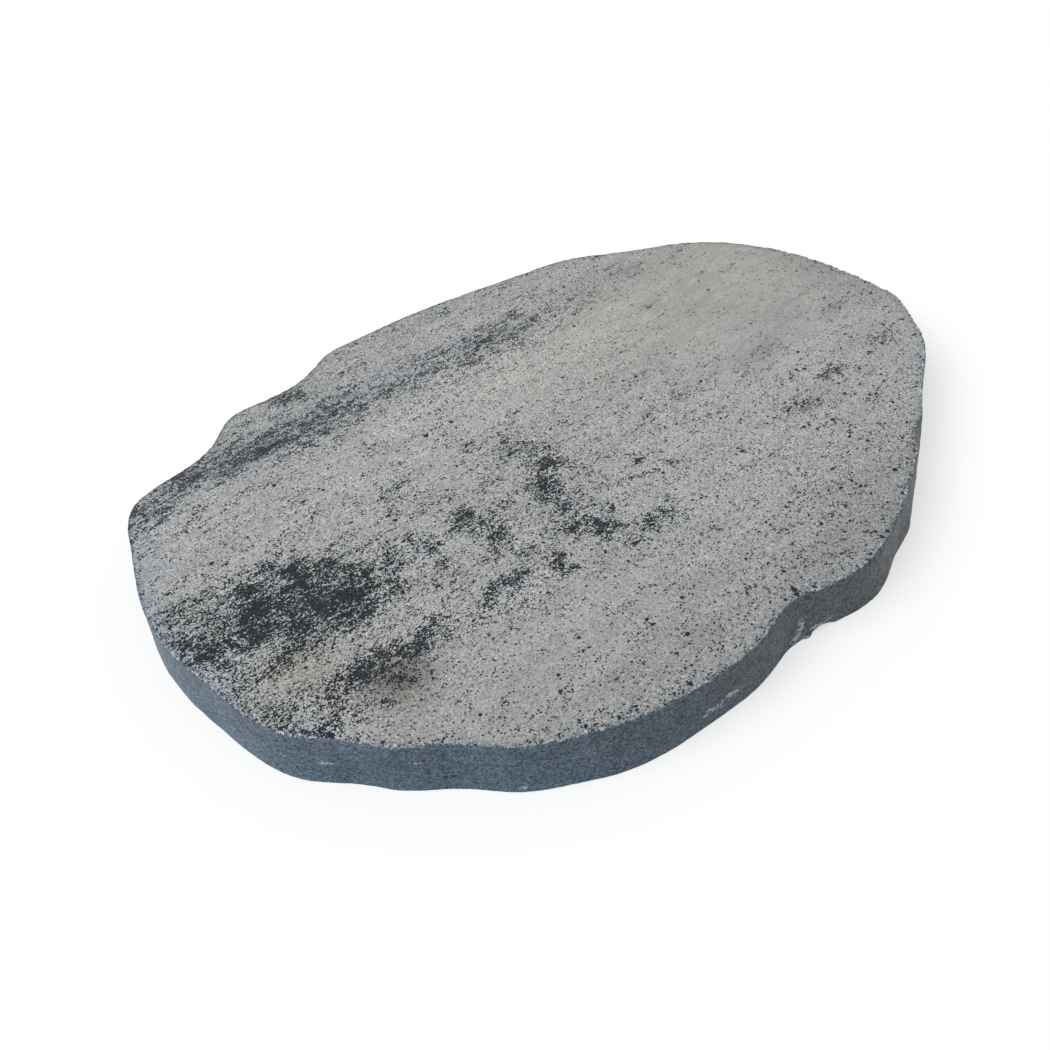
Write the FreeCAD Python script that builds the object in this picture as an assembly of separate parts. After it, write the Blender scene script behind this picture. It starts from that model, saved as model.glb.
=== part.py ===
"""Garden stepping stone: one slab of pressed concrete with the wandering outline of a split flagstone.

The slab is a single casting. Its flat bed lies on z = 0 with the origin under the middle of the overall
length and width, its long side runs along X and its flat tread faces +Z. The wall flares a little from
the tread's edge to the foot, and the upper edge is rounded. A long shallow nick has been knocked out of
that edge, and a small chip out of the foot.
"""

import FreeCAD
import Part
import os

# Driving dimensions, in millimetres.
LENGTH = 540.0
WIDTH = 390.0
THICKNESS = 40.0
WALL_FLARE = 1.5
ARRIS_RADIUS = 2.0

# The nick in the tread's edge and the chip in the foot: along the edge, into the slab, and how far each
# runs down or up the wall.
NICK_LENGTH = 36.0
NICK_DEPTH = 3.0
NICK_RUN = 12.0
CHIP_LENGTH = 19.0
CHIP_DEPTH = 3.0
CHIP_RUN = 5.0

# The tread's edge, anticlockwise from the +X end, drawn at about its real size and then stretched to
# LENGTH and WIDTH. Each row is x, y and the lean: how much further than WALL_FLARE the foot stands out.
OUTLINE = [
    (266, -32, 0),
    (264, 3, 0),
    (258, 39, 0),
    (243, 75, 0),
    (215, 110, 0),
    (181, 132, 0),
    (151, 152, 0),
    (127, 164, 0),
    (89, 173, 0),
    (45, 183, 0),
    (4, 190, 0),
    (-32, 193, 0),
    (-58, 193, 0),
    (-82, 182, 0),
    (-112, 180, 0),
    (-141, 181, 0),
    (-162, 166, 0),
    (-186, 157, 0),
    (-212, 154, 0),
    (-234, 143, 0),
    (-248, 111, 1),
    (-261, 72, 1),
    (-266, 33, 0),
    (-262, -2, 1),
    (-257, -38, 0),
    (-245, -69, 0),
    (-223, -94, 0),
    (-209, -113, -1),
    (-186, -130, 1),
    (-164, -154, 0.5),
    (-138, -169, 1),
    (-108, -182, 1.5),
    (-64, -191, -1.5),
    (-23, -190, -0.5),
    (5, -183, 1),
    (35, -191, -3),
    (70, -190, 1),
    (100, -179, 0),
    (121, -169, 3),
    (141, -158, 1.5),
    (173, -137, 1),
    (205, -113, 0),
    (236, -90, 0),
    (256, -61, 0),
]

# Places of the nick and the chip, counted in rows of the outline.
NICK_PLACE = 39.7
CHIP_PLACE = 34.8

# Passes that stretch the outline, after which the foot is within 0.001 mm of LENGTH and WIDTH.
FITTING_PASSES = 6


def closed_curve(points):
    """Smooth closed curve through the points, which lie at whole steps of its parameter."""
    curve = Part.BSplineCurve()
    steps = [float(step) for step in range(len(points) + 1)]
    curve.interpolate(Points=points, PeriodicFlag=True, Parameters=steps)
    return curve


def outward(curve, place):
    """Unit vector in plan that points out of the slab, square to the anticlockwise curve."""
    along = curve.tangent(place)[0]
    return FreeCAD.Vector(along.y, -along.x, 0).normalize()


def foot_points(edge_points):
    """The outline's points moved out from the tread's edge to the foot of the wall."""
    edge = closed_curve(edge_points)
    leans = [lean for x, y, lean in OUTLINE]
    return [
        point + outward(edge, step) * (WALL_FLARE + leans[step])
        for step, point in enumerate(edge_points)
    ]


def stretched_outline():
    """The tread's edge, stretched so that the foot measures LENGTH by WIDTH about the origin."""
    points = [FreeCAD.Vector(x, y, 0) for x, y, lean in OUTLINE]
    for _ in range(FITTING_PASSES):
        foot = closed_curve(foot_points(points)).toShape().optimalBoundingBox()
        stretch_x = LENGTH / foot.XLength
        stretch_y = WIDTH / foot.YLength
        points = [
            FreeCAD.Vector((p.x - foot.Center.x) * stretch_x, (p.y - foot.Center.y) * stretch_y, 0)
            for p in points
        ]
    return points


def wire_at(points, height):
    """The closed curve through the points as a wire at that height, cut into one edge for each row."""
    curve = closed_curve([FreeCAD.Vector(p.x, p.y, height) for p in points])
    edges = []
    for step in range(len(points)):
        span = curve.copy()
        span.segment(step, step + 1)
        edges.append(span.toShape())
    return Part.Wire(edges)


def slab(edge_points):
    """The flared slab from bed to tread, with its upper edge rounded."""
    bed = wire_at(foot_points(edge_points), 0)
    tread = wire_at(edge_points, THICKNESS)
    body = Part.makeLoft([bed, tread], True)
    upper_edges = [edge for edge in body.Edges if edge.BoundBox.ZMin > THICKNESS / 2]
    return body.makeFillet(ARRIS_RADIUS, upper_edges)


def knock(points, height, into, place, length, depth, run):
    """A cone that takes a chip of that length, depth and run off the slab.

    The chip starts at the closed curve through the points, at that height, and into points into the slab.
    """
    radius = (length ** 2 / 4 + depth ** 2) / (2 * depth)
    curve = closed_curve(points)
    axis = curve.value(place) + outward(curve, place) * (radius - depth)
    base = FreeCAD.Vector(axis.x, axis.y, height) - into * run
    return Part.makeCone(radius + depth, radius - 2 * depth, 3 * run, base, into)


def stepping_stone():
    """The whole stone, bed down."""
    up = FreeCAD.Vector(0, 0, 1)
    edge_points = stretched_outline()
    nick = knock(edge_points, THICKNESS, -up, NICK_PLACE, NICK_LENGTH, NICK_DEPTH, NICK_RUN)
    chip = knock(foot_points(edge_points), 0, up, CHIP_PLACE, CHIP_LENGTH, CHIP_DEPTH, CHIP_RUN)
    return slab(edge_points).cut([nick, chip])


os.makedirs("parts", exist_ok=True)
stepping_stone().exportStep("parts/stepping_stone.step")
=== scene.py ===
"""Looks of the garden stepping stone: one mesh of pressed concrete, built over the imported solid.

The wall follows the solid's own wall, and the lumps, pits, crumbs and chips of pressed concrete are
added to it as geometry. The tread carries clouds of dark pigment, which the material breaks up into
grains. Lengths are in metres, in the solid's frame: X along the length, Z up out of the tread.
"""

import math
import random
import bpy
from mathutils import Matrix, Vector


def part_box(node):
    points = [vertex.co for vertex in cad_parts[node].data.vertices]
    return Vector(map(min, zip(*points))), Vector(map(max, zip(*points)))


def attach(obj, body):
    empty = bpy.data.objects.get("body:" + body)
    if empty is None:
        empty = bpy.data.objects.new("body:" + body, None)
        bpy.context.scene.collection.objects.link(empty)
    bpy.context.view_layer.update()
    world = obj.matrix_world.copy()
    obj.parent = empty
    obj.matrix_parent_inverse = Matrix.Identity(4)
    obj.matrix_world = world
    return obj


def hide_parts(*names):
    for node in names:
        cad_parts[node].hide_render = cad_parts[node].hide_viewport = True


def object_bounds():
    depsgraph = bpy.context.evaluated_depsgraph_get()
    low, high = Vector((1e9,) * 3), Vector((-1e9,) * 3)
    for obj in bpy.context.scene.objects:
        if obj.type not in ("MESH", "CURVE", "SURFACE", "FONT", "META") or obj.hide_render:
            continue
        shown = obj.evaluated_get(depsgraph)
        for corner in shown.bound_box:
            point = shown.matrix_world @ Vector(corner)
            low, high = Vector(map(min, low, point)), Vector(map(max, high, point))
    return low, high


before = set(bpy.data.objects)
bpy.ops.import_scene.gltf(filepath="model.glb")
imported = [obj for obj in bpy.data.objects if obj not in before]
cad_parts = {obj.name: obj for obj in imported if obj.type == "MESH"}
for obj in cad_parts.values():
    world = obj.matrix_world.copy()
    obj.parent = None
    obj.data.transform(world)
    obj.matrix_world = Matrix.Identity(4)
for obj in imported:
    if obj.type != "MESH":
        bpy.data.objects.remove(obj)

from types import SimpleNamespace

import bmesh
import bpy
import numpy as np
from mathutils import Vector, noise
from mathutils.bvhtree import BVHTree
from mathutils.geometry import delaunay_2d_cdt

MM = 0.001
NODE = "stepping_stone"
CAD_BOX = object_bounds()
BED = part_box(NODE)[0].z
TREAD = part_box(NODE)[1].z

# The direction up, and the slope of a surface's normal that points up.
UP = np.array((0.0, 0.0, 1.0))
UPRIGHT = math.pi / 2

# Spacing of the mesh's points.
STEP_ROUND = 1.2 * MM
STEP_UP = 1.4 * MM
STEP_TREAD = 2.4 * MM
STEP_BED = 7.0 * MM

# Trial points from which the even spacing round the wall is found, the room in spacings between the wall
# and the points inside it, and the distance at which two points count as one.
TRIAL_POINTS = 3000
GRID_ROOM = 0.6
SAME_POINT = 1e-7

# Rounding of the wall's lower and upper edge, the turn in degrees from one of the upper one's rows of points
# to the next, which is doubled at the foot, and the number of those rows.
FOOT_ROUND = 0.8 * MM
ARRIS_ROUND = 1.4 * MM
ROW_TURN = 15
ARRIS_ROWS = 90 // ROW_TURN

# Where noise is read along Y and Z, and the shift along X from one wave to the next, in wavelengths.
NOISE_START = (5.1, 9.7)
WAVE_SHIFT = 17.3

# Relief of the wall as pairs of wavelength and height, and of the tread, which only sinks.
WALL_RELIEF = [(45 * MM, 0.7 * MM), (14 * MM, 0.35 * MM), (5 * MM, 0.13 * MM), (2.6 * MM, 0.10 * MM)]
TREAD_RELIEF = [(60 * MM, 0.3 * MM), (9 * MM, 0.12 * MM)]
TREAD_SINK = 0.4 * MM

# Crumbling of the upper edge, and how far from it the colour still shows it.
CRUMBLE = [(7 * MM, 0.9 * MM), (2.8 * MM, 1.0 * MM)]
CRUMBLE_REACH = 3.0 * MM
EDGE_REACH = 4.0 * MM

# The edge is less worn along the back, and carries a line of painted shade there: where that starts and is
# full along Y, and the share of wear that is gone there.
BACK_START = 20 * MM
BACK_FULL = 100 * MM
BACK_SPARED = 0.65

# Chips knocked out of the upper edge at random places.
CHIP_SEED = 7
CHIP_COUNT = 90
CHIP_REACH = (1.5 * MM, 4.0 * MM)
CHIP_DEPTH = (0.3 * MM, 0.9 * MM)

# A crumb that stands out at the foot, in millimetres: the place, the reach and the height.
FOOT_CRUMBS = [((18, -189, 0), 3.5, 1.4)]

# Pale scratches, and a painted highlight at a chip's edge, on the wall, in millimetres: start, end, half
# width and strength.
SCRATCHES_AND_HIGHLIGHT = [
    ((-70, -193, 10), (-67, -193, 12), 1.7, 0.9),
    ((-66, -193, 14), (-62, -193, 12), 1.8, 0.95),
    ((-60, -194, 12), (-56, -194, 13), 1.9, 0.95),
    ((-53, -194, 15), (-46, -194, 14), 2.0, 1.0),
    ((-58, -194, 10), (-50, -194, 11), 1.6, 0.45),
    ((-46, -195, 14), (-36, -194, 13), 1.3, 0.35),
    ((12, -187, 19), (12, -187, 8), 2.4, 0.6),
    ((13, -187, 15), (13, -187, 10), 1.6, 1.0),
    ((9, -186, 14), (9, -186, 8), 2.6, 0.42),
    ((12, -187, 8), (8, -187, 5), 3.0, 0.75),
    # A painted highlight along the edge of the chip at the foot.
    ((14, -187, 4), (18, -188, 0), 1.8, 0.7),
    ((20, -189, 6), (28, -190, 6), 1.5, 1.0),
    ((28, -190, 6), (33, -191, 8), 1.2, 0.7),
    ((-252, -64, 19), (-249, -67, 18), 1.7, 0.36),
    ((-239, -82, 18), (-235, -86, 18), 1.9, 0.42),
    ((-206, -118, 26), (-202, -122, 25), 1.5, 0.36),
    ((-167, -159, 4), (-165, -160, 6), 2.2, 0.8),
]

# How clouds are drawn: the shaking of their edges, how far off the noise for Y is read, how fast they thin
# out, and the share of dark pigment that a yellowish cloud covers.
CLOUD_SHAKE = [(22 * MM, 4.0 * MM), (7 * MM, 2.6 * MM)]
SHAKE_SHIFT = 0.5
CLOUD_SHARPNESS = 0.8
TINT_COVER = 0.8

# Clouds of dark pigment on the tread, in millimetres and degrees:
# x, y, half length, half width, turn, and how much of the surface is dark.
STAINS = [
    # Thin clouds round the others.
    (-55, -25, 75, 60, 0, 0.13), (-200, 0, 75, 50, 0, 0.2), (-190, -65, 70, 28, 0, 0.15),
    (-50, 130, 190, 24, -3, 0.2), (150, -40, 90, 55, 0, 0.08),
    # The large cloud at the -X end.
    (-205, 10, 48, 30, -12, 0.35), (-165, -5, 22, 16, -25, 0.4), (-245, 18, 20, 26, 0, 0.13),
    (-240, 49, 15, 6, 0, 0.55), (-255, 48, 9, 6, 0, 0.45), (-243, 36, 4, 4, 0, 0.6),
    (-259, 6, 9, 8, 0, 0.5), (-261, 23, 6, 7, 0, 0.88), (-254, 9, 7, 8, 0, 0.82),
    (-238, 19, 6, 8, 0, 0.65), (-243, 6, 12, 6, 0, 0.42), (-214, 16, 16, 14, 0, 0.98),
    (-226, 12, 9, 9, 0, 0.6), (-190, -26, 14, 6, 0, 0.45), (-213, 36, 9, 9, 0, 0.5),
    (-196, 40, 4, 6, 0, 0.85), (-186, 28, 14, 6, -15, 0.9), (-189, 13, 10, 12, 0, 0.9),
    (-170, 17, 9, 7, -35, 0.9), (-161, 7, 8, 4, -30, 0.85), (-225, -2, 12, 4, 0, 0.9),
    (-207, -7, 10, 9, 0, 0.85), (-185, -8, 17, 10, 0, 0.97), (-165, -17, 11, 5, -20, 0.95),
    (-173, -27, 11, 5, 0, 0.85), (-192, -28, 9, 5, 0, 0.35), (-148, -27, 6, 7, -20, 0.85),
    (-155, -5, 4, 5, 0, 0.7), (-137, -6, 7, 5, 0, 0.6), (-134, -15, 4, 4, 0, 0.7),
    (-232, -31, 18, 8, 0, 0.5), (-248, -14, 8, 10, 0, 0.2), (-222, -31, 10, 4, 0, 0.5),
    (-212, -23, 10, 8, 0, 0.6),
    # The cloud in front of it.
    (-190, -70, 55, 14, 0, 0.2), (-256, -30, 6, 16, -12, 0.35), (-250, -55, 6, 12, -25, 0.35),
    (-212, -56, 8, 4, 0, 0.6), (-196, -59, 8, 5, 0, 0.85), (-190, -64, 8, 5, 0, 0.7),
    (-178, -58, 5, 4, 0, 0.75), (-172, -66, 7, 5, -20, 0.7), (-165, -73, 4, 3, 0, 0.7),
    (-187, -72, 6, 6, 0, 0.6), (-200, -66, 6, 8, 0, 0.6), (-153, -64, 8, 5, 0, 0.7),
    (-160, -70, 4, 3, 0, 0.6), (-145, -71, 5, 6, 0, 0.45), (-218, -70, 8, 5, 0, 0.45),
    (-228, -60, 8, 8, 0, 0.35), (-243, -62, 8, 5, 0, 0.5), (-225, -80, 5, 3, 0, 0.7),
    (-239, -76, 6, 5, -30, 0.6), (-233, -83, 6, 4, -40, 0.65), (-213, -88, 5, 5, 0, 0.5),
    (-198, -92, 4, 4, 0, 0.6),
    # The chain of flecks across the middle.
    (-117, 0, 6, 4, 0, 0.7), (-116, -12, 8, 9, 0, 0.66), (-117, -34, 5, 7, 0, 0.6),
    (-107, 42, 9, 5, 15, 0.55), (-98, 45, 5, 4, 0, 0.5), (-87, -9, 9, 9, 0, 0.68),
    (-85, 6, 8, 4, 0, 0.15), (-82, -23, 6, 6, 0, 0.7), (-79, -34, 8, 7, 0, 0.72),
    (-81, -44, 8, 7, 0, 0.4), (-77, -57, 7, 4, 0, 0.55), (-107, -66, 8, 4, 15, 0.75),
    (-92, -69, 9, 5.5, 0, 0.72), (-112, -73, 9, 5, 0, 0.55), (-95, -76, 9, 4, 0, 0.4),
    (-105, -88, 8, 5, -30, 0.4), (-69, -76, 5, 8, -10, 0.72), (-67, -86, 5, 3, 0, 0.7),
    (-64, -70, 3, 3, 0, 0.55), (-68, -18, 12, 16, 0, 0.25), (-52, -58, 8, 6, 0, 0.5),
    (-45, 43, 5, 4, 30, 0.6), (-50, 38, 4, 3, 0, 0.5), (-36, 37, 6, 4, 0, 0.5), (-23, 33, 4, 3, 0, 0.6),
    (-25, 27, 14, 6, 0, 0.55), (-30, 17, 8, 5, 0, 0.55), (-18, 18, 6, 4, 0, 0.45),
    (-24, 8, 8, 6, 0, 0.55), (-12, 3, 6, 3, -15, 0.75), (-22, -4, 8, 6, 0, 0.58),
    (-19, -10, 7, 6, 0, 0.72), (-12, -15, 8, 5, -20, 0.42), (-33, -17, 7, 6, 0, 0.66),
    (-34, -24, 9, 5, 10, 0.62), (-28, -21, 5, 5, 0, 0.65), (-39, -30, 7, 5, -10, 0.66),
    (-26, -35, 6, 6, 0, 0.6), (-44, -15, 4, 3, 0, 0.6), (-39, -43, 5, 5, 0, 0.65),
    (-33, -45, 6, 4, 0, 0.75), (-45, -60, 5, 3, 0, 0.75), (-35, -58, 6, 6, 0, 0.6),
    (-23, -53, 4, 3, 0, 0.7), (-34, -66, 6, 5, 0, 0.65), (-34, -73, 8, 6, 0, 0.76),
    (-33, -80, 8, 4.5, 0, 0.66), (-23, -77, 5, 5, 0, 0.7), (-17, -61, 5, 5, 0, 0.5),
    (-24, -92, 8, 5, 0, 0.7), (-8, -88, 6, 6, 0, 0.65), (2, -89, 6, 5, 0, 0.55), (2, -99, 8, 3, 0, 0.4),
    (9, -78, 5, 3, 0, 0.55), (12, -56, 7, 2, 0, 0.5), (25, -56, 6, 2, 0, 0.6), (26, -43, 3, 3, 0, 0.6),
    # The band of streaks along the back.
    (-185, 143, 50, 12, -3, 0.25), (-142, 137, 40, 15, 0, 0.28), (-65, 134, 40, 14, -4, 0.19),
    (-20, 129, 35, 12, -6, 0.19), (35, 120, 40, 14, -8, 0.16), (-35, 118, 25, 8, 0, 0.2),
    (-192, 149, 12, 5, -3, 0.45), (-172, 150, 5, 3, 0, 0.6), (-155, 148, 12, 5, 0, 0.55),
    (-140, 144, 10, 5, -10, 0.6), (-160, 141, 12, 3, 0, 0.4), (-171, 138, 11, 3.5, -3, 0.25),
    (-145, 132, 11, 5, 0, 0.97), (-143, 131, 12, 3, 3, 0.9), (-130, 131, 5, 3, 0, 0.6),
    (-125, 143, 20, 5, 0, 0.25), (-115, 130, 16, 5, 0, 0.5), (-110, 123, 16, 4, 0, 0.4),
    (-113, 113, 16, 2.5, -3, 0.5), (-80, 133, 12, 4, 3, 0.5), (-75, 144, 16, 4, -3, 0.4),
    (-83, 127, 14, 3, 0, 0.4), (-78, 119, 10, 3, 10, 0.5), (-102, 171, 14, 8, -20, 0.5),
    (-113, 174, 6, 3, 0, 0.5), (-95, 166, 5, 4, -40, 0.6), (-230, 141, 5, 4, 20, 0.5),
    (-215, 128, 5, 3, 20, 0.5), (-197, 132, 7, 4, 0, 0.45), (-220, 136, 18, 10, 10, 0.3),
    (-185, 141, 20, 5, 0, 0.25), (-212, 138, 14, 6, 0, 0.35), (-150, 137, 12, 5, 0, 0.5),
    (-160, 161, 8, 3, 20, 0.5), (-42, 128, 8, 4, 0, 0.45), (-30, 125, 10, 5, 0, 0.35),
    (-10, 133, 9, 3, -5, 0.5), (-14, 121, 6, 2, 0, 0.5), (1, 138, 4, 3, 0, 0.6),
    (11, 131, 9, 2.5, 3, 0.65), (27, 121, 10, 4, 0, 0.6), (38, 124, 6, 4, 0, 0.5),
    (48, 117, 10, 4, 0, 0.6), (30, 130, 14, 5, 0, 0.22), (10, 113, 6, 5, 0, 0.5),
    (30, 111, 5, 3, 0, 0.7), (50, 110, 7, 3, 15, 0.7), (20, 106, 16, 4, 0, 0.3),
    (40, 105, 14, 3, 0, 0.35), (61, 113, 4, 4, 20, 0.6), (54, 131, 4, 4, 0, 0.6),
    (63, 132, 8, 5, 0, 0.6), (71, 119, 5, 3, 0, 0.9), (88, 114, 10, 6, 0, 0.5),
    (91, 110, 5, 2.5, 0, 0.65), (30, 172, 10, 5, 0, 0.5), (118, 126, 4, 3, 0, 0.45),
    (-240, 134, 9, 14, 20, 0.4), (-30, 101, 14, 4, 0, 0.28), (-157, 66, 14, 4, 0, 0.28),
    (-60, 71, 10, 3, 0, 0.22), (-190, 82, 12, 4, 0, 0.2), (-242, 114, 10, 9, 10, 0.3),
    # Scattered flecks towards the +X end.
    (86, -17, 9, 5, 0, 0.6), (162, 116, 8, 4, 0, 0.3), (137, 69, 8, 4, 0, 0.25),
    (52, -18, 8, 5, 0, 0.45), (166, -67, 6, 4, 0, 0.75), (178, -70, 6, 4, -20, 0.75),
    (133, -78, 10, 5, 0, 0.55), (228, -24, 8, 4, -20, 0.55), (158, -25, 16, 8, 0, 0.3),
    (218, -66, 14, 6, 0, 0.35), (35, -57, 5, 2, 0, 0.6), (160, 108, 4, 2, 0, 0.7),
    (163, 113, 8, 5, 0, 0.4), (119, 116, 16, 8, 0, 0.25), (140, 68, 8, 3, 0, 0.3),
    (200, 106, 10, 3, 0, 0.3), (98, -52, 20, 6, 0, 0.15), (151, 41, 20, 4, 0, 0.25),
    (230, 60, 30, 6, 0, 0.25), (135, -5, 9, 3, 0, 0.3),
]

# Lighter and darker parts of the tread, given in the same way, with how much lighter they are.
TONES = [
    (85, 75, 160, 35, -3, 0.095), (190, 45, 90, 70, 0, -0.015), (-110, 90, 80, 20, 0, 0.04),
    (-190, 75, 60, 20, 0, 0.01), (0, -190, 260, 48, 0, -0.165), (120, -140, 120, 30, 30, -0.08),
    (-190, -40, 40, 8, 0, 0.04), (258, 0, 18, 70, 0, -0.12), (150, -156, 70, 7, 36, -0.07),
    (120, 110, 40, 20, 0, -0.03), (156, -25, 14, 8, 0, -0.17), (227, -25, 12, 7, 0, -0.20),
    (219, -65, 14, 9, 0, -0.15), (201, -5, 30, 16, 0, -0.05), (162, 116, 10, 6, 0, -0.17),
    (121, 120, 22, 8, -8, -0.12), (137, 69, 10, 6, 0, -0.13), (154, 44, 9, 5, 0, -0.10),
    (135, -75, 14, 8, 0, -0.10), (250, 20, 20, 50, 0, -0.04), (0, 185, 230, 14, -4, -0.05),
    (-188, 145, 40, 9, -3, -0.11), (-145, 135, 25, 10, 0, -0.14), (-95, 135, 30, 10, -3, -0.10),
    (-40, 127, 25, 9, -5, -0.07), (40, 119, 40, 11, -6, -0.04), (-102, 170, 15, 9, -20, -0.17),
]

# Yellowish clouds, and bluish ones below 0, given in the same way.
TINTS = [
    (-218, -41, 16, 11, -20, 0.85), (-196, -100, 16, 8, 0, 0.12), (190, 60, 110, 70, 0, 0.42),
    (-264, 50, 9, 60, 4, -0.6), (-248, 110, 10, 30, 15, -0.4), (-150, 142, 110, 18, -2, -0.3),
]

# Soft brown-grey smudges, given in the same way.
SMUDGES = [
    (-183, -78, 20, 16, 0, 0.95), (-191, -92, 11, 10, 0, 0.3), (-208, -26, 10, 7, 0, 0.35),
]

# Parts of the tread where the grain is calmer, given in the same way.
CALM_PARTS = [
    (190, 55, 90, 60, 0, 0.7), (215, -10, 50, 50, 0, 0.4), (150, -15, 50, 30, 0, 0.25),
    (-110, -135, 80, 35, 0, 0.22),
]

# Pits left by air at the tread, in millimetres: x, y and radius.
PITS = [
    (-155, 100, 1.8), (-58, 70, 1.9), (-38, 69, 1.6), (12, -180, 2.1), (10.5, -183, 1.8),
    (83, -187, 2.6), (77, -187, 1.5), (157, -52, 1.5), (130, -119, 1.4), (18, -167, 1.4),
    (-36, -142, 1.5), (-166, -128, 1.3), (-217, -39, 1.3), (-209, -39, 1.0), (-199, 117, 1.3),
    (-16, 105, 1.3), (31, 87, 1.1), (183, 54, 1.2), (105, -16, 1.4), (10, -146, 1.2), (-120, -136, 1.3),
    (-216, 102, 1.3), (-136, 77, 1.1), (160, -90, 1.5), (172, -40, 1.5), (-2, 110, 1.0),
]

# Depth of the pits, their reach in radii, the rings and spokes of mesh points round each, as shares of the
# radius and a number, and the room that those points keep from the edge.
PIT_DEPTH = 0.9 * MM
PIT_SPREAD = 1.3
PIT_RINGS = (0.5, 1.0)
PIT_SPOKES = 10
PIT_ROOM = 0.5 * MM

# Where along Y the tread starts to be brushed and is fully so, and where its dark band starts and is full.
BRUSHED_START = -40 * MM
BRUSHED_FULL = 130 * MM
BAND_START = 60 * MM
BAND_FULL = 110 * MM

# Where along X the wall stops being blue with painted sky light and is plain, and the heights over which its
# foot is tinted.
PAINTED_SKY_LIGHT_END = -170 * MM
PLAIN_START = 50 * MM
FOOT_TINT_TOP = 15 * MM
FOOT_TINT_FULL = 4 * MM

# Height of the bump that stands for the finest grain.
BUMP_HEIGHT = 0.2 * MM

# The tread's pale grains, from deep to bright: places on the ramp and grey levels.
PALE_GRAINS = [(0.29, 0.185), (0.37, 0.268), (0.45, 0.342), (0.53, 0.393), (0.62, 0.485), (0.72, 0.66)]

# Tints of the tread, which its pale colour is multiplied by.
COOL_HUE = (0.985, 0.994, 1.01, 1)
WARM_HUE = (1.007, 1.006, 0.978, 1)
BLUISH = (0.80, 0.90, 1.06, 1)
NEUTRAL = (0.99, 1.002, 0.998, 1)
YELLOWISH = (0.88, 0.85, 0.71, 1)
BROWN_SMUDGE = (0.41, 0.382, 0.362, 1)
# Painted shade along the tread's rounded edge.
EDGE_SHADE = (0.76, 0.82, 0.89, 1)
STAIN_TINT = (1.0, 1.04, 1.07, 1)

# Dark pigment on the tread: its deepest and lightest grains, and its smoky look in the band.
PIGMENT_DEEP = (0.006, 0.008, 0.011, 1)
PIGMENT_LIGHT = (0.030, 0.036, 0.043, 1)
PIGMENT_SMOKY = (0.095, 0.105, 0.118, 1)

# The wall's grains, from bright to deep, as stops of a ramp: blue with painted sky light at the -X end and
# plain at the other.
WALL_PAINTED_SKY_LIGHT = [
    (0.34, (0.170, 0.232, 0.292, 1)),
    (0.5, (0.104, 0.146, 0.190, 1)),
    (0.66, (0.050, 0.073, 0.098, 1)),
]
WALL_PLAIN = [
    (0.34, (0.190, 0.208, 0.222, 1)),
    (0.5, (0.112, 0.123, 0.132, 1)),
    (0.66, (0.050, 0.055, 0.060, 1)),
]

# Tints of the wall: from place to place, as stops of a ramp, and at its foot.
WALL_HUES = [(0.40, (1.01, 1.0, 1.0, 1)), (0.5, (1.0, 1.0, 1.0, 1)), (0.60, (0.97, 1.01, 1.01, 1))]
FOOT_TINT = (0.97, 1.08, 1.15, 1)

# Pale specks: flecks on the wall, dust on it that also makes a painted highlight along a chip's edge, and
# crumbs along the upper edge.
PALE_FLECK = (0.30, 0.36, 0.42, 1)
PALE_DUST_AND_HIGHLIGHT = (0.52, 0.57, 0.62, 1)
PALE_CRUMB = (0.58, 0.63, 0.68, 1)

# Camera, from its place, the point of the tread in the middle of the picture, and its roll.
CAMERA_PLACE = Vector((-339.3, -446.9, 533.2)) * MM
CAMERA_AIM = Vector((-63.5, -38.7, 40.0)) * MM
CAMERA_ROLL = math.radians(-7.22)
PICTURE_SIDE_PX = 1050
FOCAL_LENGTH_PX = 1180
SENSOR_MM = 36.0
CLIP_START = 10 * MM

# Half the floor's side, the gap that keeps it clear of the bed, the share of light that it throws back, and
# the share of its white that a full shadow would take away.
FLOOR_HALF = 10.0
FLOOR_GAP = 0.1 * MM
FLOOR_LEVEL = 0.35
FLOOR_SHADOW = 0.4

# The key light's strength, how wide it looks, and where it comes from, and the level of the sky's light.
KEY_STRENGTH = 2.1
KEY_SPREAD = math.radians(40)
KEY_FROM = Vector((-0.60, 0.12, 0.80))
SKY_LEVEL = 0.5


def solid_surface():
    """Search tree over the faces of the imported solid."""
    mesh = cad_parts[NODE].data
    corners = [vertex.co for vertex in mesh.vertices]
    faces = [face.vertices for face in mesh.polygons]
    return BVHTree.FromPolygons(corners, faces)


def wall_points(surface, angles, height):
    """Points of the solid's wall at these angles round the Z axis and that height."""
    points = []
    for angle in angles:
        out = Vector((math.cos(angle), math.sin(angle), 0))
        points.append(surface.ray_cast(out + Vector((0, 0, height)), -out)[0])
    return np.array(points)


def even_angles(surface):
    """Angles round the Z axis at which the wall's points lie at even steps along the wall."""
    trial = np.linspace(0, 2 * math.pi, TRIAL_POINTS)
    points = wall_points(surface, trial, (BED + TREAD) / 2)
    steps = np.linalg.norm(np.diff(points, axis=0), axis=1)
    lengths = np.concatenate(([0.0], np.cumsum(steps)))
    count = round(lengths[-1] / STEP_ROUND)
    return np.interp(np.arange(count) * lengths[-1] / count, lengths, trial)


def outward(ring):
    """Unit vectors in plan that point out of an anticlockwise ring of points."""
    along = np.roll(ring, -1, 0) - np.roll(ring, 1, 0)
    out = np.column_stack((along[:, 1], -along[:, 0], np.zeros(len(ring))))
    return out / np.linalg.norm(out, axis=1)[:, None]


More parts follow.
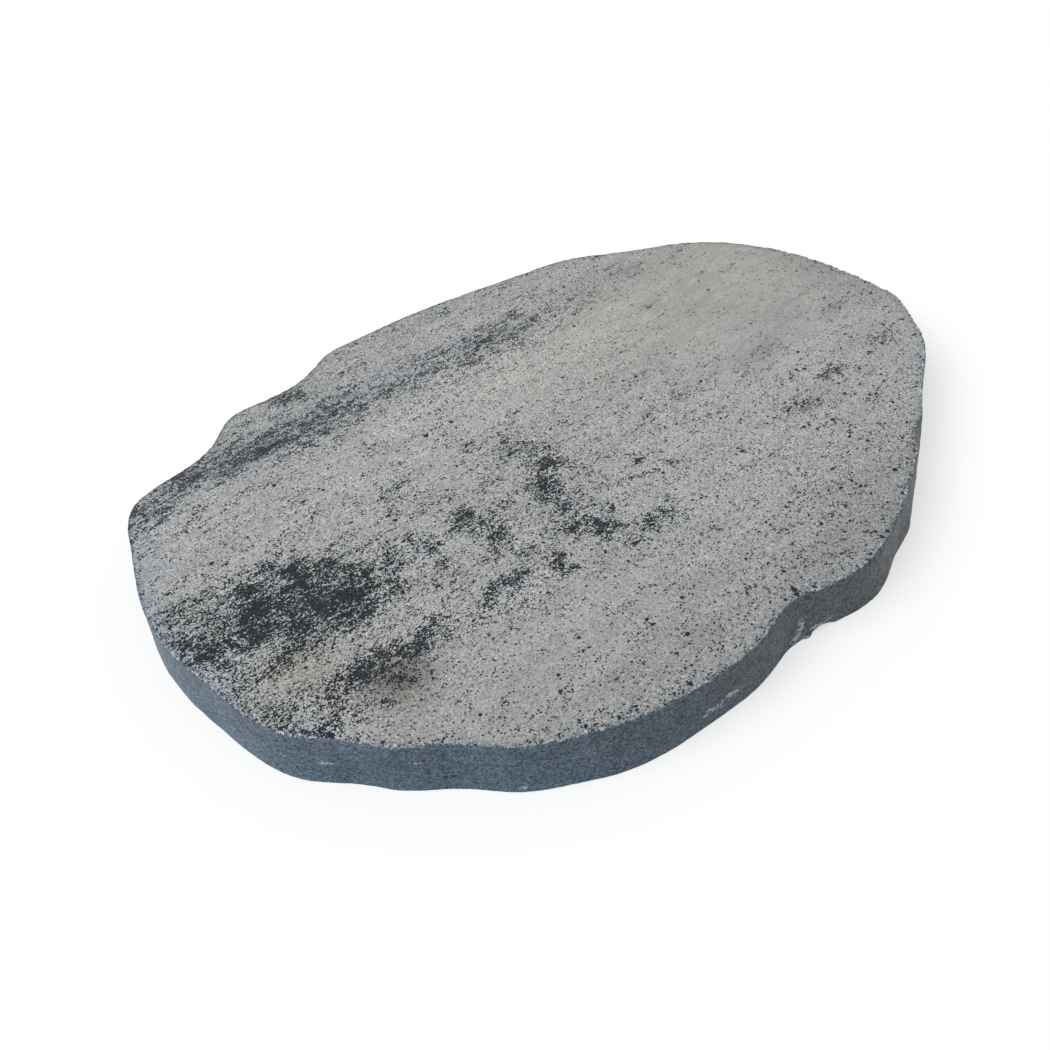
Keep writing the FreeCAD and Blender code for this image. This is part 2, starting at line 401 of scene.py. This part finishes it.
def wall_rows():
    """Rows of the wall from the bed up: height, inset from the wall, and the normal's slope."""
    rows = []
    for degrees in range(-90, 0, 2 * ROW_TURN):
        slope = math.radians(degrees)
        height = BED + FOOT_ROUND * (1 + math.sin(slope))
        rows.append((height, FOOT_ROUND * (1 - math.cos(slope)), slope))
    low = BED + FOOT_ROUND
    high = TREAD - ARRIS_ROUND
    for height in np.linspace(low, high, round((high - low) / STEP_UP)):
        rows.append((height, 0.0, 0.0))
    for row in range(1, ARRIS_ROWS + 1):
        slope = math.radians(row * ROW_TURN)
        height = TREAD - ARRIS_ROUND * (1 - math.sin(slope))
        rows.append((height, ARRIS_ROUND * (1 - math.cos(slope)), slope))
    return rows


def wall_rings(rows):
    """The rows' rings of points, the ways out of them in plan, and the directions of their normals."""
    surface = solid_surface()
    angles = even_angles(surface)
    rings = []
    outs = []
    directions = []
    for height, inset, slope in rows:
        level = min(max(height, BED + FOOT_ROUND), TREAD - ARRIS_ROUND)
        ring = wall_points(surface, angles, level)
        out = outward(ring)
        ring = ring - out * inset
        ring[:, 2] = height
        rings.append(ring)
        outs.append(out)
        directions.append(out * math.cos(slope) + np.array((0, 0, math.sin(slope))))
    return rings, outs, directions


def inside_grid(ring, spacing):
    """Places of a triangular grid that lie inside the ring, clear of it."""
    reach = np.abs(ring[:, :2]).max(axis=0)
    row_step = spacing * math.sqrt(0.75)
    places = []
    for row, y in enumerate(np.arange(-reach[1], reach[1], row_step)):
        for x in np.arange(-reach[0] + spacing / 2 * (row % 2), reach[0], spacing):
            places.append((x, y))
    places = np.array(places)
    return places[edge_distance(places, ring) > spacing * GRID_ROOM]


def edge_distance(points, ring):
    """How far each point in plan lies inside the ring, measured along the line from the Z axis."""
    ring_angles = np.arctan2(ring[:, 1], ring[:, 0])
    order = np.argsort(ring_angles)
    ring_reach = np.linalg.norm(ring[:, :2], axis=1)
    angles = np.arctan2(points[:, 1], points[:, 0])
    reach = np.interp(angles, ring_angles[order], ring_reach[order], period=2 * math.pi)
    return reach - np.linalg.norm(points[:, :2], axis=1)


def pit_places(ring):
    """Extra places on the tread round each pit, so that the mesh can sink there."""
    places = []
    for x, y, radius in PITS:
        places.append((x * MM, y * MM))
        for share in PIT_RINGS:
            reach = share * radius
            for spoke in range(PIT_SPOKES):
                turn = 2 * math.pi * (spoke + share) / PIT_SPOKES
                places.append(((x + reach * math.cos(turn)) * MM, (y + reach * math.sin(turn)) * MM))
    places = np.array(places)
    return places[edge_distance(places, ring) > PIT_ROOM]


def level_points(places, height):
    """Points at that height over places in plan."""
    return np.column_stack((places, np.full(len(places), height)))


def filling(ring, inner):
    """Triangles that fill the ring, as numbers of its points and then of the inner places."""
    flat = [Vector(point[:2]) for point in np.vstack((ring[:, :2], inner))]
    border = list(range(len(ring)))
    found = delaunay_2d_cdt(flat, [], [border], 1, SAME_POINT)
    faces, origins = found[2], found[3]
    return [[origins[corner][0] for corner in face] for face in faces]


def stone_faces(rings, tread, bed):
    """The mesh's faces. Its points are numbered ring by ring, then over the tread, then over the bed."""
    count = len(rings[0])
    faces = []
    for row in range(len(rings) - 1):
        low = row * count
        high = low + count
        for place in range(count):
            beside = (place + 1) % count
            faces.append((low + place, low + beside, high + beside, high + place))
    top_start = (len(rings) - 1) * count
    for face in filling(rings[-1], tread):
        faces.append([top_start + corner for corner in face])
    bed_start = top_start + len(tread)
    for face in filling(rings[0], bed):
        faces.append([corner if corner < count else bed_start + corner for corner in reversed(face)])
    return faces


def relief(points, waves):
    """Sum of noise waves at the points, each about as high as its height either way."""
    total = np.zeros(len(points))
    for number, (wavelength, height) in enumerate(waves):
        offset = Vector((WAVE_SHIFT * number, *NOISE_START))
        total += [height * noise.noise(Vector(point) / wavelength + offset) for point in points]
    return total


def shaken(points):
    """The points' places in plan, in millimetres, shaken so that clouds get uneven edges."""
    shake_x = relief(points, CLOUD_SHAKE)
    shake_y = relief(points + SHAKE_SHIFT, CLOUD_SHAKE)
    return (points[:, :2] + np.column_stack((shake_x, shake_y))) / MM


def cloud_shares(places, clouds):
    """For each cloud in turn, its share of the colour at the places."""
    for x, y, half_length, half_width, turn, share in clouds:
        away = places - (x, y)
        cos = math.cos(math.radians(turn))
        sin = math.sin(math.radians(turn))
        along = (away[:, 0] * cos + away[:, 1] * sin) / half_length
        across = (away[:, 1] * cos - away[:, 0] * sin) / half_width
        yield share * np.exp(-CLOUD_SHARPNESS * (along ** 2 + across ** 2))


def cloud_cover(places, clouds):
    """Share of the surface that is covered where the clouds lie over each other."""
    bare = np.ones(len(places))
    for share in cloud_shares(places, clouds):
        bare *= 1 - share
    return 1 - bare


def pit_sink(points):
    """Share of the pits' full depth at points of the tread."""
    sink = np.zeros(len(points))
    for x, y, radius in PITS:
        distance = np.linalg.norm(points[:, :2] / MM - (x, y), axis=1) / radius
        sink = np.maximum(sink, np.clip(PIT_SPREAD - distance, 0, 1))
    return sink


def bites(points, places):
    """How far chips or crumbs move the points, each given as a place, a reach and a depth."""
    depths = np.zeros(len(points))
    for place, reach, depth in places:
        distance = np.linalg.norm(points - np.array(place), axis=1) / reach
        depths = np.maximum(depths, depth * np.clip(1 - distance ** 2, 0, 1))
    return depths


def edge_chips(ring):
    """Chips at random places along a ring of points."""
    chance = random.Random(CHIP_SEED)
    return [
        (ring[chance.randrange(len(ring))], chance.uniform(*CHIP_REACH), chance.uniform(*CHIP_DEPTH))
        for _ in range(CHIP_COUNT)
    ]


def scratch_and_highlight_cover(points):
    """Share of pale dust and painted highlight at the points, from the list of scratches and the highlight
    on the wall.
    """
    cover = np.zeros(len(points))
    for start, end, reach, share in SCRATCHES_AND_HIGHLIGHT:
        run = np.array(end) - np.array(start)
        away = points / MM - np.array(start)
        along = np.clip(away @ run / (run @ run), 0, 1)
        distance = np.linalg.norm(away - along[:, None] * run, axis=1)
        cover = np.maximum(cover, share * np.exp(-(distance / reach) ** 2))
    return cover


def stone_push(points, tread_share, from_edge, chips):
    """How far each point moves out along its normal: lumps, crumbs, pits and chips."""
    wear = np.interp(points[:, 1], (BACK_START, BACK_FULL), (1.0, 1.0 - BACK_SPARED))
    push = relief(points, WALL_RELIEF) * (1 - tread_share)
    push -= wear * np.abs(relief(points, CRUMBLE)) * np.exp(-(from_edge / CRUMBLE_REACH) ** 2)
    push += (relief(points, TREAD_RELIEF) - TREAD_SINK) * tread_share
    push -= pit_sink(points) * PIT_DEPTH * (tread_share > 0.5)
    push -= wear * bites(points, chips)
    return push


def stone_paint(points, tread_share, from_edge):
    """Named values at the points, which the material turns into colour."""
    on_tread = tread_share > 0
    places = shaken(points)
    warm = sum(cloud_shares(places, TINTS))
    return {
        "stain": cloud_cover(places, STAINS) * (1 - TINT_COVER * np.clip(warm, 0, 1)) * on_tread,
        "warm": warm * on_tread,
        "smudge": cloud_cover(places, SMUDGES) * on_tread,
        "calm": cloud_cover(places, CALM_PARTS),
        "tone": sum(cloud_shares(places, TONES)),
        # Where the pits lie, which the material paints near black as shade.
        "pit": pit_sink(points) * tread_share,
        "side": 1 - tread_share,
        "edge": np.exp(-(from_edge / EDGE_REACH) ** 2),
        # Pale scratches, and a painted highlight along a chip's edge.
        "scratch_and_highlight": scratch_and_highlight_cover(points) * (1 - tread_share),
    }


def painted_mesh(points, faces, paint):
    """A smooth mesh with named values kept at its points."""
    mesh = bpy.data.meshes.new("stepping_stone_concrete")
    mesh.from_pydata(points.tolist(), [], faces)
    mesh.validate()
    for name, values in paint.items():
        attribute = mesh.attributes.new(name, "FLOAT", "POINT")
        attribute.data.foreach_set("value", values.astype(np.float32))
    tidy = bmesh.new()
    tidy.from_mesh(mesh)
    bmesh.ops.recalc_face_normals(tidy, faces=tidy.faces)
    tidy.to_mesh(mesh)
    tidy.free()
    mesh.shade_smooth()
    return mesh


def stone_mesh():
    """The stone's mesh, closed all round: the wall from the bed up, then the tread, then the flat bed."""
    rows = wall_rows()
    rings, outs, directions = wall_rings(rows)
    tread = np.vstack((inside_grid(rings[-1], STEP_TREAD), pit_places(rings[-1])))
    bed = inside_grid(rings[0], STEP_BED)
    points = np.vstack(rings + [level_points(tread, TREAD), level_points(bed, BED)])
    directions = np.vstack(directions + [np.tile(UP, (len(tread), 1)), np.tile(-UP, (len(bed), 1))])
    wall_slopes = np.repeat([slope for _, _, slope in rows], len(rings[0]))
    slopes = np.concatenate((wall_slopes, np.full(len(tread), UPRIGHT), np.full(len(bed), -UPRIGHT)))

    tread_share = np.clip(slopes / UPRIGHT, 0, 1)
    from_ring = edge_distance(points, rings[-1]) + ARRIS_ROUND
    from_edge = np.where(tread_share > 0.9, from_ring, np.maximum(TREAD - points[:, 2], 0.0))
    chips = edge_chips(rings[-ARRIS_ROWS] + UP * (ARRIS_ROUND * 0.5))
    paint = stone_paint(points, tread_share, from_edge)
    push = stone_push(points, tread_share, from_edge, chips)
    push[slopes == -UPRIGHT] = 0.0
    points = points + directions * push[:, None]

    wall = points[:len(wall_slopes)]
    wall += np.vstack(outs) * bites(wall / MM, FOOT_CRUMBS)[:, None] * MM
    points = np.clip(points, CAD_BOX[0], CAD_BOX[1])
    return painted_mesh(points, stone_faces(rings, tread, bed), paint)


class Nodes:
    """Short ways to add nodes to a node tree. All but add return outputs of the new nodes."""

    def __init__(self, tree):
        self.tree = tree

    def add(self, kind, inputs=(), **settings):
        """A new node with its settings made and its inputs set or linked."""
        made = self.tree.nodes.new(kind)
        for name, value in settings.items():
            setattr(made, name, value)
        for key, value in dict(inputs).items():
            if isinstance(value, bpy.types.NodeSocket):
                self.tree.links.new(value, made.inputs[key])
            else:
                made.inputs[key].default_value = value
        return made

    def paint(self, name):
        """A named value kept at the mesh's points."""
        return self.add("ShaderNodeAttribute", attribute_name=name).outputs["Fac"]

    def grain(self, place, scale, detail=2.0, roughness=0.7):
        """Noise with that many grains to the metre. Most of it lies within 0.15 of 0.5."""
        inputs = {"Vector": place, "Scale": scale, "Detail": detail, "Roughness": roughness}
        return self.add("ShaderNodeTexNoise", inputs).outputs["Fac"]

    def dots(self, place, scale):
        """Scattered dots, that many to the metre.

        Gives how far the nearest one is, in spacings, and its own level from 0 to 1.
        """
        made = self.add("ShaderNodeTexVoronoi", {"Vector": place, "Scale": scale}).outputs
        level = self.add("ShaderNodeSeparateColor", {"Color": made["Color"]}).outputs["Red"]
        return made["Distance"], level

    def cells(self, place, scale):
        """Cells of that many to the metre, each with a level of its own, spread evenly from 0 to 1."""
        return self.dots(place, scale)[1]

    def specks(self, place, scale, crowding, core, growth):
        """Share of small ragged specks.

        Crowding is the share of the dots that become one. The smallest have the core's radius, in
        spacings, and the others grow by up to the growth times the crowding.
        """
        distance, level = self.dots(place, scale)
        above = self.minus(self.plus(level, crowding), 1.0)
        radius = self.plus(self.times(above, growth), core)
        ragged = self.total((distance, 1.0), (self.grain(place, 2.5 * scale, 0.0), 0.5))
        inside = self.step(self.minus(ragged, radius), 0.05, -0.05)
        return self.times(inside, self.step(above, 0.0, 0.02))

    def stretch(self, place, along_x):
        """The place with lengths along X divided, so that noise is drawn out along X."""
        inputs = {"Vector": place, "Scale": (1 / along_x, 1, 1)}
        return self.add("ShaderNodeMapping", inputs).outputs["Vector"]

    def axes(self, place):
        """The place's X, Y and Z."""
        return self.add("ShaderNodeSeparateXYZ", {"Vector": place}).outputs

    def step(self, value, low, high):
        """0 at low, 1 at high and smooth between. High may be the lower number."""
        inputs = {"Value": value, "From Min": low, "From Max": high}
        return self.add("ShaderNodeMapRange", inputs, interpolation_type="SMOOTHSTEP").outputs["Result"]

    def calc(self, operation, first, second):
        """What Blender's operation makes of two values."""
        return self.add("ShaderNodeMath", {0: first, 1: second}, operation=operation).outputs["Value"]

    def plus(self, first, second):
        """Sum of two values."""
        return self.calc("ADD", first, second)

    def minus(self, first, second):
        """First value less the second."""
        return self.calc("SUBTRACT", first, second)

    def times(self, first, second):
        """Product of two values."""
        return self.calc("MULTIPLY", first, second)

    def larger(self, first, second):
        """The larger of two values."""
        return self.calc("MAXIMUM", first, second)

    def total(self, *terms):
        """Sum of values, each given with its weight and counted from 0.5, about 0.5."""
        result = 0.5
        for value, weight in terms:
            result = self.plus(result, self.times(self.minus(value, 0.5), weight))
        return result

    def blend(self, share, first, second):
        """Mix of two colours."""
        inputs = {"Factor": share, 6: first, 7: second}
        return self.add("ShaderNodeMix", inputs, data_type="RGBA").outputs[2]

    def tinted(self, first, second):
        """Product of two colours."""
        inputs = {"Factor": 1.0, 6: first, 7: second}
        return self.add("ShaderNodeMix", inputs, data_type="RGBA", blend_type="MULTIPLY").outputs[2]

    def tinted_where(self, share, colour, tint):
        """The colour, tinted by that share."""
        return self.blend(share, colour, self.tinted(colour, tint))

    def ramp(self, value, *stops):
        """Colour ramp through stops, each a position and a colour, in rising order."""
        made = self.add("ShaderNodeValToRGB", {"Fac": value})
        elements = made.color_ramp.elements
        elements[0].position, elements[0].color = stops[0]
        elements[1].position, elements[1].color = stops[-1]
        for position, colour in stops[1:-1]:
            elements.new(position).color = colour
        return made.outputs["Color"]


def grey(level, warmth=0.0):
    """An opaque grey of that level, warmer for warmth above 0 and cooler below.

    Blue changes 1.3 times as much as red, the other way.
    """
    return (level * (1 + warmth), level, level * (1 - 1.3 * warmth), 1.0)


def tread_values(nodes, place):
    """What the tread's colours come from: noise from fine to broad, and values painted on the mesh."""
    streak = nodes.grain(nodes.stretch(place, 5.0), 220.0)
    along_y = nodes.axes(place)["Y"]
    brushing = nodes.plus(nodes.step(along_y, BRUSHED_START, BRUSHED_FULL), 0.3)
    return SimpleNamespace(
        grit=nodes.cells(place, 1350.0),
        flecks=nodes.cells(nodes.stretch(place, 1.3), 800.0),
        grains=nodes.grain(nodes.stretch(place, 1.15), 700.0, 0.0),
        clump=nodes.grain(nodes.stretch(place, 2.2), 330.0, 1.0),
        smear=nodes.grain(nodes.stretch(place, 2.0), 150.0, 3.0),
        crowd=nodes.grain(nodes.stretch(place, 2.0), 100.0, 1.0),
        drift=nodes.grain(nodes.stretch(place, 4.0), 60.0, 1.0),
        hue=nodes.grain(place, 55.0),
        broad=nodes.grain(place, 14.0, 3.0),
        brushed=nodes.total((streak, brushing)),
        band=nodes.step(along_y, BAND_START, BAND_FULL),
        contrast=nodes.minus(1.0, nodes.times(nodes.paint("calm"), 0.85)),
        level=nodes.plus(0.5, nodes.paint("tone")),
        stain=nodes.paint("stain"),
        edge=nodes.paint("edge"),
    )


def pale_concrete(nodes, values):
    """The tread's ground: pale grains, shaded and tinted from place to place, with painted shade along its
    edge.
    """
    mottle = nodes.total((nodes.total((values.grit, 0.33), (values.grains, 0.20)), values.contrast))
    pale = nodes.ramp(mottle, *[(position, grey(level)) for position, level in PALE_GRAINS])
    smeared = nodes.times(nodes.minus(1.0, values.contrast), 2.4)
    shade = nodes.total(
        (values.brushed, 0.7), (values.broad, 0.4), (values.drift, 0.6), (values.smear, smeared)
    )
    pale = nodes.tinted(pale, nodes.ramp(shade, (0.38, grey(0.92)), (0.62, grey(1.06))))
    pale = nodes.tinted(pale, nodes.ramp(values.hue, (0.38, COOL_HUE), (0.62, WARM_HUE)))
    tone = nodes.ramp(
        values.level, (0.3, grey(0.76, -0.01)), (0.5, grey(0.96)), (0.7, grey(1.16, 0.025))
    )
    pale = nodes.tinted(pale, tone)
    warmth = nodes.plus(0.5, nodes.times(nodes.paint("warm"), 0.5))
    pale = nodes.tinted(pale, nodes.ramp(warmth, (0.0, BLUISH), (0.5, NEUTRAL), (1.0, YELLOWISH)))
    pale = nodes.tinted_where(nodes.paint("smudge"), pale, BROWN_SMUDGE)
    # Painted shade along the rounded edge.
    pale = nodes.tinted_where(values.edge, pale, EDGE_SHADE)
    return nodes.tinted_where(values.stain, pale, STAIN_TINT)


def pigment_clouds(nodes, values):
    """Share of dark pigment in the clouds: grains that stand above a bar, which a stain lowers."""
    fine = nodes.total((values.grit, -0.56), (values.flecks, 0.38))
    solid = nodes.times(nodes.step(values.stain, 0.8, 1.0), 0.3)
    loose = nodes.times(values.contrast, nodes.minus(1.0, solid))
    pigment = nodes.total((fine, loose), (values.clump, 0.68), (values.crowd, 0.5), (values.brushed, 0.9))
    bar = nodes.minus(0.85, nodes.times(values.stain, 0.68))
    bar = nodes.minus(bar, nodes.times(values.edge, 0.06))
    sharpness = nodes.minus(1.0, nodes.times(values.band, 0.3))
    clouds = nodes.step(nodes.times(nodes.minus(pigment, bar), sharpness), -0.12, 0.14)
    return nodes.times(clouds, nodes.total((values.contrast, 0.5), (1.5, 0.25)))


def tread_colour(nodes, place):
    """Pale concrete with dark specks and pores, clouds of pigment, and pits painted near black as shade.
    Also returns the share of dark.
    """
    values = tread_values(nodes, place)
    gathered = nodes.total(
        (values.crowd, 1.1), (values.clump, 0.5), (values.level, -0.8), (values.contrast, 0.22)
    )
    gathered = nodes.plus(gathered, nodes.times(values.edge, 0.12))
    specks = nodes.specks(place, 520.0, nodes.minus(gathered, 0.26), 0.20, 0.35)
    pores = nodes.specks(place, 230.0, nodes.minus(gathered, 0.47), 0.13, 0.6)
    dark_share = nodes.larger(pigment_clouds(nodes, values), nodes.larger(specks, pores))
    dark = nodes.ramp(values.grit, (0.1, PIGMENT_DEEP), (0.9, PIGMENT_LIGHT))
    dark = nodes.blend(nodes.times(values.band, 0.2), dark, PIGMENT_SMOKY)
    colour = nodes.blend(dark_share, pale_concrete(nodes, values), dark)
    # Painted shade: the pits are drawn near black.
    pit_shade = nodes.step(nodes.paint("pit"), 0.2, 0.7)
    return nodes.blend(pit_shade, colour, grey(0.02)), dark_share


def wall_colour(nodes, place):
    """Dense blue-grey concrete, with painted blue sky light at the -X end, pores painted dark as shade, pale
    flecks, scratches, and a painted highlight along a chip's edge. Also returns its grain.
    """
    fine = nodes.total((nodes.grain(place, 560.0, 3.0), 0.95), (nodes.cells(place, 1050.0), 0.36))
    crowd = nodes.grain(place, 45.0)
    blotch = nodes.grain(place, 40.0, 3.0)
    hue = nodes.grain(place, 70.0)
    axes = nodes.axes(place)

    blue = nodes.ramp(fine, *WALL_PAINTED_SKY_LIGHT)
    plain = nodes.ramp(fine, *WALL_PLAIN)
    # Painted blue sky light on the wall at the -X end, fading to plain towards +X.
    colour = nodes.blend(nodes.step(axes["X"], PAINTED_SKY_LIGHT_END, PLAIN_START), blue, plain)
    colour = nodes.tinted(colour, nodes.ramp(blotch, (0.36, grey(0.88)), (0.64, grey(1.10))))
    colour = nodes.tinted(colour, nodes.ramp(hue, *WALL_HUES))
    colour = nodes.tinted_where(nodes.step(axes["Z"], FOOT_TINT_TOP, FOOT_TINT_FULL), colour, FOOT_TINT)
    pores = nodes.specks(place, 310.0, nodes.minus(nodes.total((crowd, 2.0)), 0.33), 0.12, 0.5)
    flecks = nodes.specks(place, 480.0, nodes.minus(nodes.total((crowd, -1.0)), 0.24), 0.10, 0.6)
    # Pores painted near black, as the shade inside them.
    colour = nodes.blend(nodes.times(pores, 0.85), colour, grey(0.02, -0.1))
    colour = nodes.blend(nodes.times(flecks, 0.85), colour, PALE_FLECK)
    crumbs = nodes.total((nodes.cells(place, 700.0), 0.8))
    # Pale dust and scratches, and a painted highlight along a chip's edge.
    dust_and_highlight = nodes.step(nodes.plus(nodes.paint("scratch_and_highlight"), crumbs), 0.85, 1.3)
    return nodes.blend(dust_and_highlight, colour, PALE_DUST_AND_HIGHLIGHT), fine


def edge_colour(nodes, place, crumb, colour):
    """The colour with what the upper edge adds: pale crumbs, painted shadows between them, and painted shade
    along the back.
    """
    rim = nodes.step(nodes.paint("edge"), 0.75, 0.92)
    back = nodes.step(nodes.axes(place)["Y"], BACK_START, BACK_FULL)
    worn = nodes.minus(1.0, nodes.times(back, BACK_SPARED))
    pale_crumb = nodes.times(nodes.times(rim, nodes.step(crumb, 0.55, 0.60)), worn)
    # Painted shadows of the crumbs, drawn as dark gaps.
    crumb_shadow = nodes.times(rim, nodes.step(nodes.grain(place, 650.0, 1.0), 0.58, 0.66))
    colour = nodes.blend(nodes.times(pale_crumb, 0.85), colour, PALE_CRUMB)
    colour = nodes.blend(nodes.times(crumb_shadow, 0.75), colour, grey(0.03, -0.05))
    # Painted shade along the back edge.
    return nodes.tinted_where(nodes.times(rim, back), colour, grey(0.55))


def concrete():
    """Pressed concrete: a pale speckled tread, a blue-grey wall, and crumbs where the two meet. Painted blue
    sky light lies on the wall's -X end, painted shade in pits, pores and along the upper edge, and a painted
    highlight at a chip.
    """
    material = bpy.data.materials.new("pressed_concrete")
    material.use_nodes = True
    nodes = Nodes(material.node_tree)
    link = material.node_tree.links.new
    shader = material.node_tree.nodes["Principled BSDF"]
    place = nodes.add("ShaderNodeTexCoord").outputs["Object"]

    tread, dark_share = tread_colour(nodes, place)
    wall, wall_grain = wall_colour(nodes, place)
    crumb = nodes.grain(place, 420.0)
    near_edge = nodes.step(nodes.paint("edge"), 0.5, 0.9)
    raggedness = nodes.times(nodes.minus(crumb, 0.5), nodes.times(near_edge, 2.5))
    on_wall = nodes.step(nodes.plus(nodes.paint("side"), raggedness), 0.68, 0.88)
    colour = edge_colour(nodes, place, crumb, nodes.blend(on_wall, tread, wall))
    link(colour, shader.inputs["Base Color"])

    tread_height = nodes.times(dark_share, -0.6)
    wall_height = nodes.times(wall_grain, -1.5)
    height = nodes.add("ShaderNodeMix", {"Factor": on_wall, 2: tread_height, 3: wall_height}).outputs[0]
    bump = nodes.add("ShaderNodeBump", {"Height": height, "Strength": 1.0, "Distance": BUMP_HEIGHT})
    link(bump.outputs["Normal"], shader.inputs["Normal"])
    link(nodes.step(crumb, 1.5, -0.5), shader.inputs["Roughness"])
    shader.inputs["Specular IOR Level"].default_value = 0.15
    return material


def stepping_stone():
    """The stone itself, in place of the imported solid."""
    stone = bpy.data.objects.new("stepping_stone_concrete", stone_mesh())
    bpy.context.scene.collection.objects.link(stone)
    stone.data.materials.append(concrete())
    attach(stone, "root")
    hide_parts(NODE)


def seen_directly(nodes):
    """1 for rays that show the background, straight or through gloss or glass, and 0 for light."""
    rays = nodes.add("ShaderNodeLightPath").outputs
    shown = nodes.larger(rays["Is Camera Ray"], rays["Is Glossy Ray"])
    return nodes.larger(shown, rays["Is Transmission Ray"])


def floor_material():
    """White that keeps a faint shadow of the stone and throws back less light than it shows."""
    material = bpy.data.materials.new("floor_white")
    material.use_nodes = True
    nodes = Nodes(material.node_tree)
    shader = material.node_tree.nodes["Principled BSDF"]
    seen = seen_directly(nodes)
    link = material.node_tree.links.new
    link(nodes.blend(seen, grey(FLOOR_LEVEL), grey(FLOOR_SHADOW)), shader.inputs["Base Color"])
    link(nodes.times(seen, 1 - FLOOR_SHADOW), shader.inputs["Emission Strength"])
    shader.inputs["Emission Color"].default_value = grey(1.0)
    shader.inputs["Roughness"].default_value = 1.0
    shader.inputs["Specular IOR Level"].default_value = 0.0
    return material


def floor():
    """A wide square floor just under the bed."""
    mesh = bpy.data.meshes.new("floor")
    signs = ((-1, -1), (1, -1), (1, 1), (-1, 1))
    corners = [(x * FLOOR_HALF, y * FLOOR_HALF, BED - FLOOR_GAP) for x, y in signs]
    mesh.from_pydata(corners, [], [(0, 1, 2, 3)])
    mesh.materials.append(floor_material())
    plane = bpy.data.objects.new("floor", mesh)
    bpy.context.scene.collection.objects.link(plane)


def lights():
    """A soft key light from the -X end, and an even sky that is white to the eye."""
    key = bpy.data.lights.new("key", "SUN")
    key.energy = KEY_STRENGTH
    key.angle = KEY_SPREAD
    lamp = bpy.data.objects.new("key", key)
    lamp.rotation_mode = "QUATERNION"
    lamp.rotation_quaternion = KEY_FROM.to_track_quat("Z", "Y")
    bpy.context.scene.collection.objects.link(lamp)
    world = bpy.data.worlds.new("sky")
    bpy.context.scene.world = world
    world.use_nodes = True
    nodes = Nodes(world.node_tree)
    colour = nodes.blend(seen_directly(nodes), grey(SKY_LEVEL), grey(1.0))
    world.node_tree.links.new(colour, world.node_tree.nodes["Background"].inputs["Color"])


def camera():
    """The camera, from where the photograph was taken."""
    data = bpy.data.cameras.new("camera")
    data.sensor_width = SENSOR_MM
    data.lens = SENSOR_MM * FOCAL_LENGTH_PX / PICTURE_SIDE_PX
    data.clip_start = CLIP_START
    eye = bpy.data.objects.new("camera", data)
    eye.location = CAMERA_PLACE
    eye.rotation_euler = (CAMERA_PLACE - CAMERA_AIM).to_track_quat("Z", "Y").to_euler()
    eye.rotation_euler.rotate_axis("Z", CAMERA_ROLL)
    bpy.context.scene.collection.objects.link(eye)
    bpy.context.scene.camera = eye


stepping_stone()
floor()
lights()
camera()
bpy.context.scene.view_settings.view_transform = "Standard"
